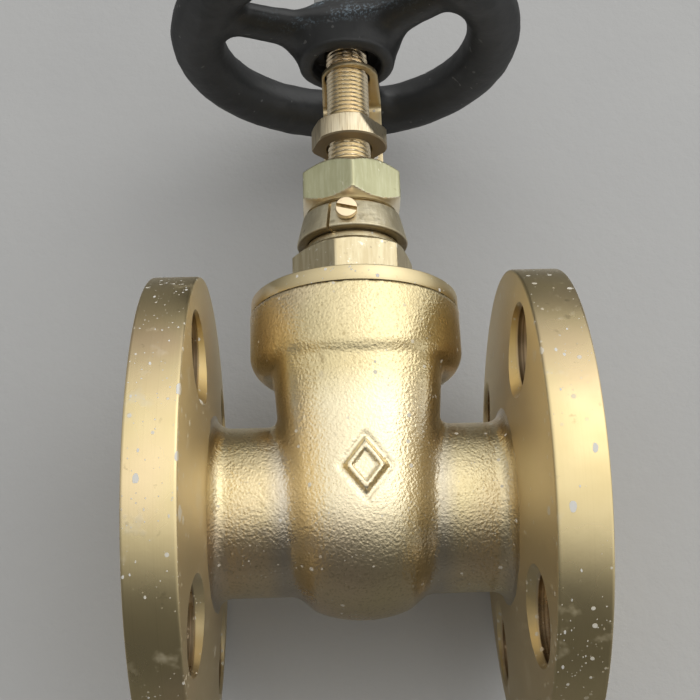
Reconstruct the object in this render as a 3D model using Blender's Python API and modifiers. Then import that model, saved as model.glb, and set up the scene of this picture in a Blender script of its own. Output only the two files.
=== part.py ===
"""Flanged gate valve, non-rising stem, with handwheel and open/shut indicator.

Metres, +Z up along the stem, X along the pipe. The origin is on the stem axis, level with the lowest
points of the two flanges; the heights below are measured from the pipe axis, PIPE_AXIS_Z above it.
The gate stands about two fifths open."""

import math

import bmesh
import bpy
from mathutils import Matrix

MM = 0.001
PIPE_AXIS_Z = 57.5

# flanges and necks; the inner faces slope back from the neck to the rim
FLANGE_R = 57.5
FLANGE_FACE_X = 48.6
FLANGE_T = 11.4
FLANGE_TAPER = 0.065
BOLT_CIRCLE_R = 43.0
BOLT_HOLE_R = 9.5
BOLT_CHAMFER = 1.5
NECK_R = 20.5
BORE_R = 16.0

# barrel: height, half width along the pipe, radius of the round front and back
BARREL_SIDES = 44
BARREL = [
    (42.0, 21.4, 25.7), (33.0, 20.8, 25.7), (22.0, 19.8, 25.7), (10.0, 18.5, 25.7), (0.0, 17.4, 25.7),
    (-6.0, 17.1, 25.1), (-12.0, 16.8, 23.0), (-17.0, 16.4, 19.8), (-20.5, 15.8, 16.4),
    (-23.2, 13.8, 12.3), (-25.2, 9.8, 7.6), (-26.0, 5.4, 3.9),
]
COLLAR_R = 26.8
COLLAR_TOP = 49.5
COLLAR_BOTTOM = 32.0

# gate and its chamber
SEAT_OUT_R = 19.2
SEAT_BACK_X = 13.2
GATE_R = 19.0
GATE_HALF_T = 8.0
GATE_TAPER = 0.0875
GATE_LIFT_AT_REST = 13.2
CHAMBER_HALF_X = 10.6
CHAMBER_R = 20.6
MOUTH_R = 23.6
MOUTH_BOTTOM = 38.5

# bonnet
BONNET_SPIGOT_R = 23.3
BONNET_DISC_R = 26.5
BONNET_DISC_Z = (50.4, 53.8)
BONNET_HEX_R = 16.2
BONNET_HEX_Z = (53.8, 66.3)
NECK_TOP_R = 11.1

# stem
STEM_TOP = 150.5
STEM_R = 6.0
STEM_COLLAR_R = 8.5
INDICATOR_THREAD_R = 5.75
INDICATOR_PITCH = 1.25
GATE_THREAD_R = 4.5
GATE_PITCH = 3.0
STEM_BOTTOM = 16.5

# handwheel
RIM_CENTRE_R = 41.1
RIM_TUBE_R = 7.6
RIM_Z = 133.0
SPOKE_ANGLES = (77.0, 197.0, 317.0)

# indicator
INDICATOR_NUT_Z = (99.0, 104.4)
INDICATOR_NUT_R = 10.2
INDICATOR_FLATS = [("left", 9.5, -161.0), ("back_left", 8.3, 138.0), ("back_right", 8.4, 40.0)]
BRACKET_HALF_W = 8.3
BRACKET_TAB_R = 7.7
BRACKET_Y = 15.45
BRACKET_T = 1.0
BRACKET_SHIFT = 0.7
BRACKET_TURN = -3.0


def clear_scene():
    for thing in list(bpy.data.objects):
        bpy.data.objects.remove(thing, do_unlink=True)


def new_collection(name):
    group = bpy.data.collections.new(name)
    bpy.context.scene.collection.children.link(group)
    return group


def principled(name, colour, metallic, roughness):
    mat = bpy.data.materials.get(name)
    if mat is None:
        mat = bpy.data.materials.new(name)
        mat.use_nodes = True
        shader = mat.node_tree.nodes["Principled BSDF"]
        shader.inputs["Base Color"].default_value = (*colour, 1.0)
        shader.inputs["Metallic"].default_value = metallic
        shader.inputs["Roughness"].default_value = roughness
    return mat


def cast_brass():
    return principled("cast_brass", (0.72, 0.55, 0.26), 1.0, 0.42)


def turned_brass():
    return principled("turned_brass", (0.78, 0.60, 0.30), 1.0, 0.28)


def black_iron():
    return principled("black_iron", (0.02, 0.022, 0.025), 0.0, 0.4)


def plated_steel():
    return principled("plated_steel", (0.62, 0.60, 0.56), 1.0, 0.35)


def dark_gasket():
    return principled("dark_gasket", (0.06, 0.055, 0.05), 0.0, 0.85)


def packing_braid():
    return principled("packing_braid", (0.12, 0.12, 0.12), 0.0, 0.8)


def add_object(name, mesh, group):
    thing = bpy.data.objects.new(name, mesh)
    group.objects.link(thing)
    return thing


def lathe(name, profile, steps, group, closed=False, smooth=True):
    """A profile of (radius, height) pairs in mm, running down its outer side, turned about Z."""
    mesh = bpy.data.meshes.new(name)
    points = [(r * MM, 0.0, z * MM) for r, z in profile]
    edges = [(i, i + 1) for i in range(len(points) - 1)]
    if closed:
        edges.append((len(points) - 1, 0))
    mesh.from_pydata(points, edges, [])
    thing = add_object(name, mesh, group)
    turn = thing.modifiers.new("turn", "SCREW")
    turn.axis = "Z"
    turn.angle = 2.0 * math.pi
    turn.steps = steps
    turn.render_steps = steps
    turn.use_merge_vertices = True
    turn.merge_threshold = 0.00001
    turn.use_smooth_shade = smooth
    return thing


def block(name, low, high, group):
    """A box from its low corner to its high corner, in mm."""
    mesh = bpy.data.meshes.new(name)
    shape = bmesh.new()
    bmesh.ops.create_cube(shape, size=1.0)
    for vert in shape.verts:
        for i in range(3):
            middle = 0.5 * (low[i] + high[i])
            vert.co[i] = (middle + vert.co[i] * (high[i] - low[i])) * MM
    shape.to_mesh(mesh)
    shape.free()
    return add_object(name, mesh, group)


def taper_block(name, half_t, reach, group):
    """A block whose two faces across X lean apart upwards at the gate's taper."""
    thing = block(name, (-1.0, -reach, -reach), (1.0, reach, reach), group)
    for vert in thing.data.vertices:
        side = 1.0 if vert.co.x > 0 else -1.0
        vert.co.x = side * (half_t * MM + GATE_TAPER * vert.co.z)
    return thing


def combine(thing, other, operation):
    step = thing.modifiers.new(operation.lower(), "BOOLEAN")
    step.solver = "EXACT"
    step.operation = operation
    step.object = other


def along_x(thing):
    thing.rotation_euler = (0.0, math.radians(90.0), 0.0)
    return thing


def finish(thing, mat):
    thing.data.materials.clear()
    thing.data.materials.append(mat)
    return thing


def barrel_mesh():
    """The gate chamber's outside: round front and back, flattened sides, from the collar to the bottom."""
    mesh = bpy.data.meshes.new("valve_body")
    verts, faces = [], []
    for z, half_x, round_r in BARREL:
        for i in range(BARREL_SIDES):
            a = 2.0 * math.pi * i / BARREL_SIDES
            c, s = math.cos(a), math.sin(a)
            r = ((abs(c) / half_x) ** 8 + (1.0 / round_r) ** 8) ** -0.125
            verts.append((r * c * MM, r * s * MM, z * MM))
    rows = len(BARREL)
    for row in range(rows - 1):
        for i in range(BARREL_SIDES):
            j = (i + 1) % BARREL_SIDES
            a, b = row * BARREL_SIDES, (row + 1) * BARREL_SIDES
            faces.append((a + i, b + i, b + j, a + j))
    faces.append(tuple(range(BARREL_SIDES)))
    faces.append(tuple(reversed(range((rows - 1) * BARREL_SIDES, rows * BARREL_SIDES))))
    mesh.from_pydata(verts, [], faces)
    mesh.polygons.foreach_set("use_smooth", [len(f) == 4 for f in faces])
    return mesh


def end_pipe(name, group):
    """One neck with its flange, about X, from inside the barrel to the flange face."""
    inner = FLANGE_FACE_X - FLANGE_T
    root = inner - FLANGE_TAPER * (FLANGE_R - 24.0)
    profile = [
        (0.0, FLANGE_FACE_X), (FLANGE_R - 1.2, FLANGE_FACE_X), (FLANGE_R - 0.35, FLANGE_FACE_X - 0.35),
        (FLANGE_R, FLANGE_FACE_X - 1.2), (FLANGE_R, inner + 1.2), (FLANGE_R - 0.35, inner + 0.35),
        (FLANGE_R - 1.2, inner), (24.0, root), (22.4, root - 0.6), (21.3, root - 1.7), (NECK_R + 0.2, root - 3.2),
        (NECK_R, root - 4.2), (NECK_R, 22.0), (20.9, 20.0), (21.8, 18.4), (22.4, 8.0), (0.0, 8.0),
    ]
    return along_x(lathe(name, profile, 56, group))


def collar(name, group):
    profile = [
        (0.0, COLLAR_TOP), (COLLAR_R - 0.5, COLLAR_TOP), (COLLAR_R, COLLAR_TOP - 0.5),
        (COLLAR_R, COLLAR_BOTTOM + 6.5), (COLLAR_R - 0.5, COLLAR_BOTTOM + 4.0),
        (COLLAR_R - 1.9, COLLAR_BOTTOM + 1.9), (COLLAR_R - 4.0, COLLAR_BOTTOM + 0.5),
        (COLLAR_R - 6.5, COLLAR_BOTTOM), (0.0, COLLAR_BOTTOM),
    ]
    return lathe(name, profile, 56, group)


def lozenge(name, group):
    """A plain raised diamond frame on the barrel's front."""
    profile = [(1.0, 1.0), (1.0, -1.0), (0.62, -1.0), (0.62, 1.0)]
    thing = lathe(name, profile, 4, group, closed=True, smooth=False)
    thing.location = (3.6 * MM, -25.1 * MM, 6.0 * MM)
    thing.rotation_euler = (math.radians(90.0), 0.0, 0.0)
    thing.scale = (4.9, 6.2, 1.2)
    return thing


def bolt_holes(group):
    """Four cutters, each passing both flanges, chamfered at every face and thin in between."""
    outer = FLANGE_FACE_X
    inner = outer - FLANGE_T - FLANGE_TAPER * (FLANGE_R - BOLT_CIRCLE_R)
    r, c = BOLT_HOLE_R, BOLT_CHAMFER
    half = [(0.0, outer + 2.0), (r + c + 1.0, outer + 2.0), (r + c + 1.0, outer + 1.0), (r, outer - c),
            (r, inner + c), (r + c + 1.0, inner - 1.0), (1.0, inner - 1.0)]
    profile = half + [(radius, -x) for radius, x in reversed(half)]
    for i in range(4):
        a = math.radians(45.0 + 90.0 * i)
        thing = along_x(lathe("bolt_hole_%d" % i, profile, 18, group))
        thing.location = (0.0, BOLT_CIRCLE_R * math.cos(a) * MM, BOLT_CIRCLE_R * math.sin(a) * MM)
        yield thing


def make_body(parts, cutters):
    body = add_object("valve_body", barrel_mesh(), parts)
    right = end_pipe("pipe_end_right", cutters)
    left = end_pipe("pipe_end_left", cutters)
    left.rotation_euler = (0.0, math.radians(-90.0), 0.0)
    for other in (collar("collar", cutters), right, left, lozenge("lozenge", cutters)):
        combine(body, other, "UNION")
    bore = along_x(lathe("bore", [(0.0, 70.0), (BORE_R, 70.0), (BORE_R, -70.0), (0.0, -70.0)], 40, cutters))
    r, h = CHAMBER_R, CHAMBER_HALF_X
    chamber = along_x(lathe("chamber", [(0.0, h), (r, h), (r, -h), (0.0, -h)], 48, cutters))
    shaft = block("chamber_shaft", (-h + 0.05, -r, -5.0), (h - 0.05, r, 45.0), cutters)
    soften = shaft.modifiers.new("corners", "BEVEL")
    soften.width = 4.0 * MM
    soften.segments = 4
    r, h = SEAT_OUT_R + 0.2, SEAT_BACK_X + 0.2
    pockets = along_x(lathe("seat_pockets", [(0.0, h), (r, h), (r, -h), (0.0, -h)], 48, cutters))
    mouth = lathe("mouth", [(0.0, 60.0), (MOUTH_R, 60.0), (MOUTH_R, MOUTH_BOTTOM), (0.0, MOUTH_BOTTOM)],
                  64, cutters)
    for other in [bore, chamber, shaft, pockets, mouth, *bolt_holes(cutters)]:
        combine(body, other, "DIFFERENCE")
    return finish(body, cast_brass())


def make_seat(name, side, parts, gate_cutter):
    profile = [(SEAT_OUT_R, SEAT_BACK_X), (SEAT_OUT_R, 6.0), (BORE_R, 6.0), (BORE_R, SEAT_BACK_X)]
    seat = along_x(lathe(name, profile, 48, parts, closed=True))
    if side < 0:
        seat.rotation_euler = (0.0, math.radians(-90.0), 0.0)
    combine(seat, gate_cutter, "DIFFERENCE")
    return finish(seat, turned_brass())


def make_bonnet(parts, cutters):
    low, high = BONNET_HEX_Z
    outside = [
        (0.0, 84.0), (10.0, 84.0), (10.5, 83.5), (10.5, 77.8), (NECK_TOP_R, 77.6), (NECK_TOP_R, 69.1),
        (12.2, 69.1), (12.3, 67.6), (13.3, high - 0.1), (13.3, low), (BONNET_DISC_R - 0.4, low),
        (BONNET_DISC_R, low - 0.4), (BONNET_DISC_R, BONNET_DISC_Z[0] + 0.3),
        (BONNET_DISC_R - 0.3, BONNET_DISC_Z[0]), (BONNET_SPIGOT_R, BONNET_DISC_Z[0]),
        (BONNET_SPIGOT_R, 39.6), (BONNET_SPIGOT_R - 0.6, 39.0), (0.0, 39.0),
    ]
    bonnet = lathe("bonnet", outside, 64, parts)
    flats = lathe("bonnet_hexagon", [(0.0, high), (BONNET_HEX_R, high), (BONNET_HEX_R, low - 1.0),
                                     (0.0, low - 1.0)], 6, cutters, smooth=False)
    flats.rotation_euler = (0.0, 0.0, math.radians(13.0))
    crown = lathe("bonnet_crown", [(0.0, high + 1.0), (13.2, high + 1.0), (14.2, high),
                                   (BONNET_HEX_R + 0.2, high - 0.9), (BONNET_HEX_R + 0.2, low - 2.0),
                                   (0.0, low - 2.0)], 48, cutters)
    combine(flats, crown, "INTERSECT")
    inside = lathe("bonnet_inside", [
        (0.0, 90.0), (9.0, 90.0), (9.0, 61.8), (5.3, 61.8), (5.3, 59.2), (10.2, 59.2), (10.4, 52.6),
        (21.0, 44.0), (21.0, 30.0), (0.0, 30.0)], 48, cutters)
    combine(bonnet, flats, "UNION")
    combine(bonnet, inside, "DIFFERENCE")
    return finish(bonnet, turned_brass())


def ring(name, r_in, r_out, low, high, steps, parts, mat, edge=0.15):
    profile = [(r_out - edge, high), (r_out, high - edge), (r_out, low + edge), (r_out - edge, low),
               (r_in, low), (r_in, high)]
    return finish(lathe(name, profile, steps, parts, closed=True), mat)


def make_packing(parts):
    for name, low in (("lower", 65.0), ("middle", 69.7), ("upper", 74.4)):
        ring("packing_ring_" + name, 6.25, 8.75, low, low + 4.4, 32, parts, packing_braid(), edge=0.6)


def make_gland_follower(parts):
    profile = [(9.9, 85.4), (9.9, 84.3), (8.7, 84.3), (8.7, 79.1), (6.3, 79.1), (6.3, 85.4)]
    finish(lathe("gland_follower", profile, 32, parts, closed=True), turned_brass())


def hexagon_nut(name, r, low, high, turned, r_bore, parts, cutters, chamfer, slope):
    """A hexagon chamfered at both ends, with a plain bore; turned is one corner's angle from +X."""
    flats = lathe(name, [(0.0, high), (r, high), (r, low), (0.0, low)], 6, parts, smooth=False)
    flats.rotation_euler = (0.0, 0.0, math.radians(turned))
    crown = lathe(name + "_crown", [
        (0.0, high + 0.5), (r - chamfer, high + 0.5), (r - chamfer, high), (r + 0.3, high - slope),
        (r + 0.3, low + slope), (r - chamfer, low), (r - chamfer, low - 0.5), (0.0, low - 0.5)], 36, cutters)
    hole = lathe(name + "_bore", [(0.0, high + 1.0), (r_bore, high + 1.0), (r_bore, low - 1.0),
                                  (0.0, low - 1.0)], 32, cutters)
    combine(flats, crown, "INTERSECT")
    combine(flats, hole, "DIFFERENCE")
    return flats


def make_gland_nut(parts, cutters):
    nut = hexagon_nut("gland_nut", 14.66, 78.4, 90.0, -89.0, 6.4, parts, cutters, 2.7, 2.6)
    inside = lathe("gland_nut_inside", [(0.0, 85.7), (10.8, 85.7), (10.8, 70.0), (0.0, 70.0)], 48, cutters)
    combine(nut, inside, "DIFFERENCE")
    finish(nut, turned_brass())


def radial_cutter(name, profile, x, z, sideways, cutters):
    """A turned cutter lying along Y; sideways +1 points to +Y, -1 to -Y."""
    thing = lathe(name, profile, 16, cutters)
    thing.rotation_euler = (math.radians(-90.0 * sideways), 0.0, 0.0)
    thing.location = (x * MM, 0.0, z * MM)
    return thing


def with_bracket(thing):
    """Moves a piece from the plane behind the stem to where the bracket sits, a little aside and turned."""
    place = Matrix.Translation((BRACKET_SHIFT * MM, 0.0, 0.0))
    turn = Matrix.Rotation(math.radians(BRACKET_TURN), 4, "Z")
    thing.matrix_basis = place @ turn @ thing.matrix_basis
    return thing


def make_clamp_ring(parts, cutters):
    outside = [(0.0, 77.2), (12.5, 77.2), (12.8, 76.9), (14.4, 70.2), (14.55, 69.8), (14.4, 69.4), (0.0, 69.4)]
    clamp = lathe("clamp_ring", outside, 44, parts)
    pad = with_bracket(block("clamp_pad", (-BRACKET_HALF_W, 9.5, 70.0), (BRACKET_HALF_W, 14.7, 76.6), cutters))
    combine(clamp, pad, "UNION")
    bore = lathe("clamp_bore", [(0.0, 80.0), (11.4, 80.0), (11.4, 60.0), (0.0, 60.0)], 44, cutters)
    split = block("clamp_split", (-0.4, -18.0, 60.0), (0.4, -9.0, 90.0), cutters)
    split.rotation_euler = (0.0, 0.0, math.radians(-26.0))
    seat = radial_cutter("clamp_screw_seat", [(0.0, 20.0), (2.95, 20.0), (2.95, 13.6), (1.7, 13.6),
                                              (1.7, 10.0), (0.0, 10.0)], -1.6, 73.8, -1, cutters)
    cuts = [bore, split, seat]
    for side in (-1, 1):
        hole = radial_cutter("pad_hole_%s" % ("left" if side < 0 else "right"),
                             [(0.0, 20.0), (1.7, 20.0), (1.7, 10.0), (0.0, 10.0)], 4.6 * side, 73.4, 1, cutters)
        cuts.append(with_bracket(hole))
    for other in cuts:
        combine(clamp, other, "DIFFERENCE")
    finish(clamp, cast_brass())


def cheese_screw(name, x, z, sideways, under_head, end, head_r, head_t, slot_turn, parts, cutters):
    """A slotted cheese-head screw lying along Y."""
    top = under_head + head_t
    profile = [(0.0, top), (head_r - 0.3, top), (head_r, top - 0.3), (head_r, under_head),
               (1.4, under_head), (1.4, end + 0.3), (1.1, end), (0.0, end)]
    screw = lathe(name, profile, 20, parts)
    screw.rotation_euler = (math.radians(-90.0 * sideways), 0.0, 0.0)
    screw.location = (x * MM, 0.0, z * MM)
    slot = block(name + "_slot", (-5.0, top - 1.0, -0.4), (5.0, top + 1.0, 0.4), cutters)
    for vert in slot.data.vertices:
        vert.co.y *= sideways
    if sideways < 0:
        slot.data.flip_normals()
    slot.rotation_euler = (0.0, math.radians(slot_turn), 0.0)
    slot.location = (x * MM, 0.0, z * MM)
    if sideways > 0:
        with_bracket(screw)
        with_bracket(slot)
    combine(screw, slot, "DIFFERENCE")
    finish(screw, turned_brass())


def make_bracket(parts, cutters):
    """A sheet strip: straight up behind the gland nut and the stem, then bent forward over them."""
    w, r, y = BRACKET_HALF_W, BRACKET_TAB_R, BRACKET_Y
    path = [(y, 69.8, w), (y, 117.8, w), (y - 0.8, 119.75, w), (y - 2.75, 120.55, w), (0.0, 120.55, r)]
    verts = [(x * MM, y * MM, z * MM) for y, z, half in path for x in (-half, half)]
    faces = [(2 * i, 2 * i + 1, 2 * i + 3, 2 * i + 2) for i in range(len(path) - 1)]
    mesh = bpy.data.meshes.new("indicator_bracket")
    mesh.from_pydata(verts, [], faces)
    strip = with_bracket(add_object("indicator_bracket", mesh, parts))
    thick = strip.modifiers.new("sheet", "SOLIDIFY")
    thick.thickness = BRACKET_T * MM
    thick.offset = 0.0
    thick.use_even_offset = True
    top, bottom = 120.55 + 0.5 * BRACKET_T, 120.55 - 0.5 * BRACKET_T
    tab = with_bracket(lathe("bracket_tab", [(0.0, top), (r, top), (r, bottom), (0.0, bottom)], 48, cutters))
    combine(strip, tab, "UNION")
    hole = lathe("bracket_hole", [(0.0, 130.0), (6.3, 130.0), (6.3, 110.0), (0.0, 110.0)], 32, cutters)
    combine(strip, hole, "DIFFERENCE")
    for side in (-1, 1):
        fix = radial_cutter("bracket_hole_%s" % ("left" if side < 0 else "right"),
                            [(0.0, 20.0), (1.7, 20.0), (1.7, 14.0), (0.0, 14.0)], 4.6 * side, 73.4, 1, cutters)
        combine(strip, with_bracket(fix), "DIFFERENCE")
    finish(strip, turned_brass())


def grooves(r_crest, r_root, top, bottom, pitch):
    """Zigzag of a turned thread from top down to bottom."""
    count = int((top - bottom) / pitch)
    points = []
    for i in range(count):
        z = top - i * pitch
        points += [(r_crest, z - 0.25 * pitch), (r_root, z - 0.75 * pitch)]
    return points


def make_stem(parts):
    profile = [(0.0, STEM_TOP), (4.3, STEM_TOP), (5.0, STEM_TOP - 0.7), (5.0, 139.5), (5.6, 138.9), (5.6, 125.2)]
    profile += grooves(INDICATOR_THREAD_R, 5.15, 124.4, 89.4, INDICATOR_PITCH)
    profile += [(INDICATOR_THREAD_R, 89.3), (STEM_R, 89.0), (STEM_R, 64.5), (STEM_COLLAR_R, 64.5),
                (STEM_COLLAR_R, 62.0), (5.0, 62.0), (5.0, 60.2)]
    profile += grooves(GATE_THREAD_R, 3.5, 60.0, 18.0, GATE_PITCH)
    profile += [(GATE_THREAD_R - 0.4, 17.4), (3.4, STEM_BOTTOM), (0.0, STEM_BOTTOM)]
    finish(lathe("stem", profile, 18, parts), turned_brass())


def make_handwheel(parts, cutters):
    count = 16
    circle = []
    for i in range(count):
        a = math.radians(-90.0 + 360.0 * i / count)
        circle.append((RIM_CENTRE_R + RIM_TUBE_R * math.cos(a), RIM_Z - RIM_TUBE_R * math.sin(a)))
    wheel = lathe("handwheel", circle, 54, parts, closed=True)
    hub = lathe("hub", [
        (0.0, 139.0), (11.0, 139.0), (12.0, 138.2), (12.8, 136.0), (14.4, 134.0), (14.8, 132.0),
        (14.2, 129.6), (13.7, 126.8), (13.3, 124.3), (12.7, 123.5), (0.0, 123.5)], 32, cutters)
    combine(wheel, hub, "UNION")
    for i, angle in enumerate(SPOKE_ANGLES):
        spoke = lathe("spoke_%d" % i, [(0.0, 38.0), (7.6, 38.0), (6.6, 34.0), (6.1, 29.0), (6.1, 23.0),
                                       (6.7, 17.0), (8.2, 11.0), (0.0, 8.0)], 16, cutters)
        spoke.rotation_euler = (0.0, math.radians(90.0), math.radians(angle))
        spoke.location = (0.0, 0.0, RIM_Z * MM)
        spoke.scale = (0.54, 1.0, 1.0)
        combine(wheel, spoke, "UNION")
    bore = lathe("hub_bore", [(0.0, 150.0), (5.9, 150.0), (5.9, 127.3), (9.0, 127.3), (9.8, 123.0),
                              (9.8, 110.0), (0.0, 110.0)], 32, cutters)
    combine(wheel, bore, "DIFFERENCE")
    finish(wheel, black_iron())


def make_wheel_fixing(parts, cutters):
    ring("wheel_washer", 5.3, 9.6, 139.3, 140.9, 32, parts, plated_steel(), edge=0.3)
    nut = hexagon_nut("wheel_nut", 9.24, 141.2, 148.2, 20.0, 5.3, parts, cutters, 1.0, 0.7)
    finish(nut, plated_steel())


def make_gate(parts, cutters):
    gate = taper_block("gate_wedge", GATE_HALF_T, 21.0, parts)
    gate.location = (0.0, 0.0, GATE_LIFT_AT_REST * MM)
    round_off = along_x(lathe("gate_round", [(0.0, 14.0), (GATE_R, 14.0), (GATE_R, -14.0), (0.0, -14.0)],
                              64, cutters))
    boss = lathe("gate_boss", [(0.0, 25.5), (8.6, 25.5), (9.0, 25.1), (9.0, 12.0), (0.0, 12.0)], 32, cutters)
    hole = lathe("gate_stem_hole", [(0.0, 40.0), (5.0, 40.0), (5.0, -16.8), (3.0, -17.5), (0.0, -17.5)],
                 32, cutters)
    slot = block("gate_nut_slot", (-12.0, -6.9, 17.0), (12.0, 6.9, 23.6), cutters)
    for other, operation in ((round_off, "INTERSECT"), (boss, "UNION"), (hole, "DIFFERENCE"),
                             (slot, "DIFFERENCE")):
        other.location = gate.location
        combine(gate, other, operation)
    finish(gate, cast_brass())

    nut = block("wedge_nut", (-7.0, -6.6, 17.3), (7.0, 6.6, 23.3), parts)
    nut.location = gate.location
    thread = lathe("wedge_nut_bore", [(0.0, 40.0), (4.75, 40.0), (4.75, 0.0), (0.0, 0.0)], 32, cutters)
    thread.location = gate.location
    combine(nut, thread, "DIFFERENCE")
    finish(nut, turned_brass())


def make_indicator_nut(parts, cutters):
    """A round nut with filed flats, kept from turning by a tongue that slides on the bracket behind it."""
    low, high = INDICATOR_NUT_Z
    r = INDICATOR_NUT_R
    nut = lathe("indicator_nut", [(0.0, high), (r - 0.4, high), (r, high - 0.4), (r, low + 0.4), (r - 0.4, low),
                                  (0.0, low)], 36, parts)
    sides = [with_bracket(block("indicator_back", (-20.0, 9.2, -20.0), (20.0, 30.0, 20.0), cutters))]
    for name, distance, turn in INDICATOR_FLATS:
        side = block("indicator_" + name, (distance, -20.0, -20.0), (30.0, 20.0, 20.0), cutters)
        side.rotation_euler = (0.0, 0.0, math.radians(turn))
        sides.append(side)
    right = block("indicator_right", (10.1, -20.0, -20.0), (30.0, 20.0, 20.0), cutters)
    for vert in right.data.vertices:
        if vert.co.x < 0.02:
            vert.co.x -= 0.34 * vert.co.z
    right.rotation_euler = (0.0, 0.0, math.radians(-38.0))
    bore = lathe("indicator_bore", [(0.0, 120.0), (6.0, 120.0), (6.0, 80.0), (0.0, 80.0)], 32, cutters)
    tongue = with_bracket(block("indicator_tongue", (-4.6, 6.0, 0.5),
                                (4.6, BRACKET_Y - 0.85, high - low - 0.5), cutters))
    for other in sides + [right, tongue]:
        other.location.z = low * MM
    for other in sides + [right]:
        combine(nut, other, "DIFFERENCE")
    combine(nut, tongue, "UNION")
    combine(nut, bore, "DIFFERENCE")
    finish(nut, turned_brass())


def main():
    clear_scene()
    parts = new_collection("flanged_gate_valve")
    cutters = new_collection("cutters")
    make_body(parts, cutters)
    gate_cutter = taper_block("gate_clearance", GATE_HALF_T + 0.15, 24.0, cutters)
    make_seat("seat_ring_left", -1, parts, gate_cutter)
    make_seat("seat_ring_right", 1, parts, gate_cutter)
    make_bonnet(parts, cutters)
    ring("bonnet_gasket", 23.6, 26.2, 49.65, 50.25, 64, parts, dark_gasket(), edge=0.1)
    make_packing(parts)
    make_gland_follower(parts)
    make_gland_nut(parts, cutters)
    make_clamp_ring(parts, cutters)
    cheese_screw("clamp_screw", -1.6, 73.8, -1, 13.9, 11.4, 2.75, 2.1, 7.0, parts, cutters)
    make_bracket(parts, cutters)
    for side in (-1, 1):
        cheese_screw("bracket_screw_%s" % ("left" if side < 0 else "right"), 4.6 * side, 73.4, 1,
                     16.25, 12.4, 2.6, 1.9, 20.0 * side, parts, cutters)
    make_stem(parts)
    make_handwheel(parts, cutters)
    make_wheel_fixing(parts, cutters)
    make_gate(parts, cutters)
    make_indicator_nut(parts, cutters)
    for thing in bpy.data.objects:
        thing.location.z += PIPE_AXIS_Z * MM
    for thing in cutters.objects:
        thing.hide_render = True
        thing.display_type = "WIRE"


main()
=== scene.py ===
import math

import bmesh
import bpy
import numpy as np
from mathutils import Matrix, Vector, noise


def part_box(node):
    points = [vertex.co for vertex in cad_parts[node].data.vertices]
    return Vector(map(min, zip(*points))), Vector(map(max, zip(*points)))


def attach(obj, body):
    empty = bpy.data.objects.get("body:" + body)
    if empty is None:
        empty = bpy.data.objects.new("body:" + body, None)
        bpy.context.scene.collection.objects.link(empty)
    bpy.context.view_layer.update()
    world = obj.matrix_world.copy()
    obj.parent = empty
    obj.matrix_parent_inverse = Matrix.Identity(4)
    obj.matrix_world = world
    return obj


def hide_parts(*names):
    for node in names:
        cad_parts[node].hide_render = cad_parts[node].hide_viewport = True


MM = 0.001
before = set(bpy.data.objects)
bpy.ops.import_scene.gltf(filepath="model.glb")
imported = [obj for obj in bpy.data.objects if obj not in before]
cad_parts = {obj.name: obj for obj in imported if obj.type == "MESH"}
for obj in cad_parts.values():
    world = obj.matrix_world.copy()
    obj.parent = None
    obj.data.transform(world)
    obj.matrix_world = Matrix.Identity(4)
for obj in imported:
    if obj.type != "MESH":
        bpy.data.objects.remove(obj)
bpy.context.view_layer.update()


# ---- sizes, in mm, with heights from the pipe axis
PIPE_AXIS_Z = 57.5


def mm_box(node):
    """A node's lowest and highest corners in mm."""
    lift = np.array([0.0, 0.0, PIPE_AXIS_Z])
    return [np.array(corner) * 1000.0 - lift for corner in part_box(node)]


FACE_X, FLANGE_R, _ = mm_box("valve_body")[1]
FLANGE_T = 11.4
FLANGE_TAPER = 0.065
HOLE_CIRCLE_R = 43.0
HOLE_R = 9.5
HOLE_CHAMFER = 1.5
BORE_R = 16.0
NECK_R = 20.5
NECK_FLARE = 4.0
CASTING_END_X = FACE_X - FLANGE_T + 1.2

BARREL_Z = [-26.0, -20.0, -12.0, 0.0, 10.0, 22.0, 33.0, 42.0]
BARREL_HALF_X = [15.2, 16.0, 16.8, 17.4, 18.5, 19.8, 20.8, 21.4]
BARREL_DEEP = 25.7
COLLAR_R = mm_box("bonnet_gasket")[1][0] + 0.6
COLLAR_TOP = mm_box("bonnet_gasket")[0][2] - 0.15
COLLAR_BOTTOM = 33.0
COLLAR_DROP = 3.4
LOZENGE_AT = (0.9, 5.0)
LOZENGE_HALF = (6.3, 7.9)
CHAMBER_R, CHAMBER_HALF_X = 20.6, 10.6
SEAT_POCKET_R, SEAT_POCKET_X = 19.4, 13.4
MOUTH_R, MOUTH_BOTTOM = 23.6, 38.5
GATE_Z = mm_box("wedge_nut")[0][2] - 17.3
GATE_R = 19.0
GATE_HALF_T = 8.0
GATE_TAPER = 0.0875

BONNET_HEX_R = 16.2
BONNET_HEX_Z = (53.8, 66.3)
BONNET_HEX_WEAR_TOP = 68.0
GLAND_NUT_R = 14.66
CLAMP_RING_Z = (77.2, 69.4)
CLAMP_SCREW_AT = (-1.6, 73.8)
BRACKET_Y = 15.45
BRACKET_TOP = 120.55
BRACKET_HALF_W = 7.7
BRACKET_SHIFT = 0.7
BRACKET_TURN = -3.0
TONGUE_HALF_W = 4.6
TONGUE_OUT = 14.6
INDICATOR_PITCH = 1.25
GATE_PITCH = 3.0

WHEEL_Z = 133.0
RIM_R, RIM_TUBE_R = 41.05, 7.5
HUB_Z = [123.5, 126.5, 129.0, 131.5, 134.0, 136.0, 138.0, 139.1]
HUB_R = [13.1, 13.7, 14.0, 14.6, 14.5, 12.9, 12.1, 11.2]
SPOKE_ANGLES = (80.5, 200.5, 320.5)
SPOKE_OUT = [6.0, 11.0, 17.0, 23.0, 29.0, 34.0, 39.0]
SPOKE_HALF_W = [9.5, 8.2, 6.7, 6.1, 6.1, 6.7, 8.0]
SPOKE_FLATNESS = 0.63
WHEEL_NUT_R = 9.24

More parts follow.
